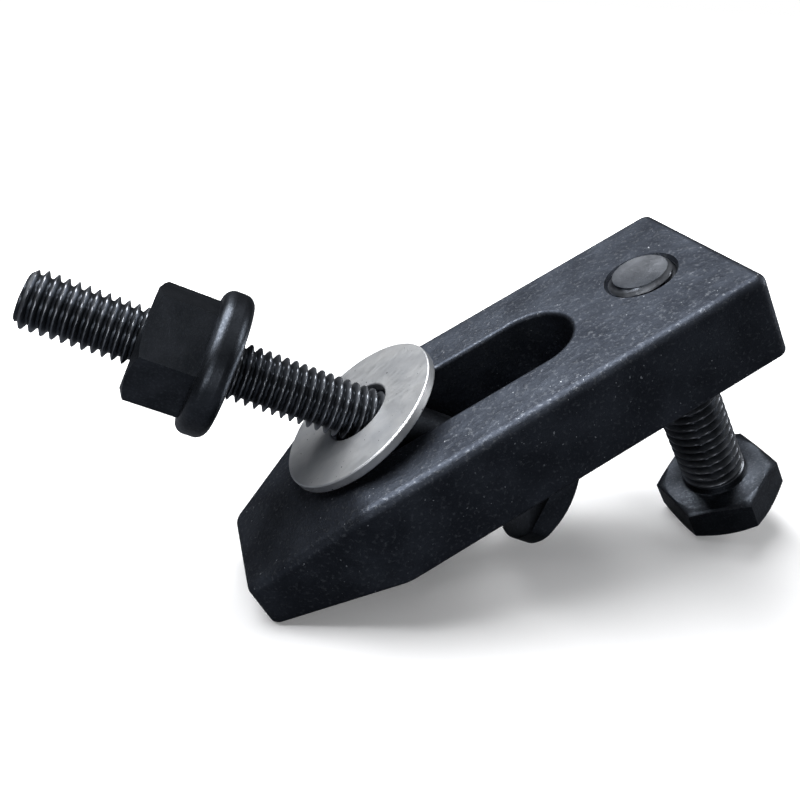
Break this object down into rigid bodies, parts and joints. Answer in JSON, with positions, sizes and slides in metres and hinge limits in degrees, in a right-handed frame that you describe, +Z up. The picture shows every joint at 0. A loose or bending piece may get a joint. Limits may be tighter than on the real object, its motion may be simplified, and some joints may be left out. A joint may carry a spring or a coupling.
{
  "type": "strap clamp",
  "caption": "Forged slotted strap clamp with a jack screw at its heel, a T-bolt leaning through the slot, a tall collar nut and a wide flat washer",
  "frame": {"origin": "middle of the bounding box, on the floor it stands on", "axes": "+Z up, +X from the nose to the heel, +Y to the far side of the strap"},
  "size_m": [0.1104, 0.0308, 0.0477],
  "materials": {
    "forged_black": "forged steel, black oxide",
    "black_oxide": "machined steel, black oxide",
    "zinc": "satin zinc plate"
  },
  "bodies": {
    "strap": {"clamp_strap": "forged_black"},
    "jack": {"jack_screw": "black_oxide"},
    "washer_ring": {"washer": "zinc"},
    "bolt": {"t_bolt": "black_oxide"},
    "nut": {"collar_nut": "black_oxide"}
  },
  "joints": [
    {"name": "jack_travel", "type": "slide", "parent": "strap", "child": "jack", "axis": [-0.4786, 0, 0.878], "range_m": [-0.0055, 0.0235]},
    {"name": "washer_rock", "type": "hinge", "parent": "strap", "child": "washer_ring", "pos_m": [-0.01586, 0.01329, 0.02024], "axis": [0.1509, 0.9851, 0.0823], "range_deg": [0, 13.16]},
    {"name": "bolt_lean", "type": "hinge", "parent": "washer_ring", "child": "bolt", "pos_m": [-0.01298, 0.00193, 0.02437], "axis": [0.2142, 0.9668, 0.1395], "range_deg": [0, 26.16]},
    {"name": "nut_travel", "type": "slide", "parent": "bolt", "child": "nut", "axis": [-0.912, 0.1468, 0.3831], "range_m": [-0.0125, 0.0145]}
  ]
}
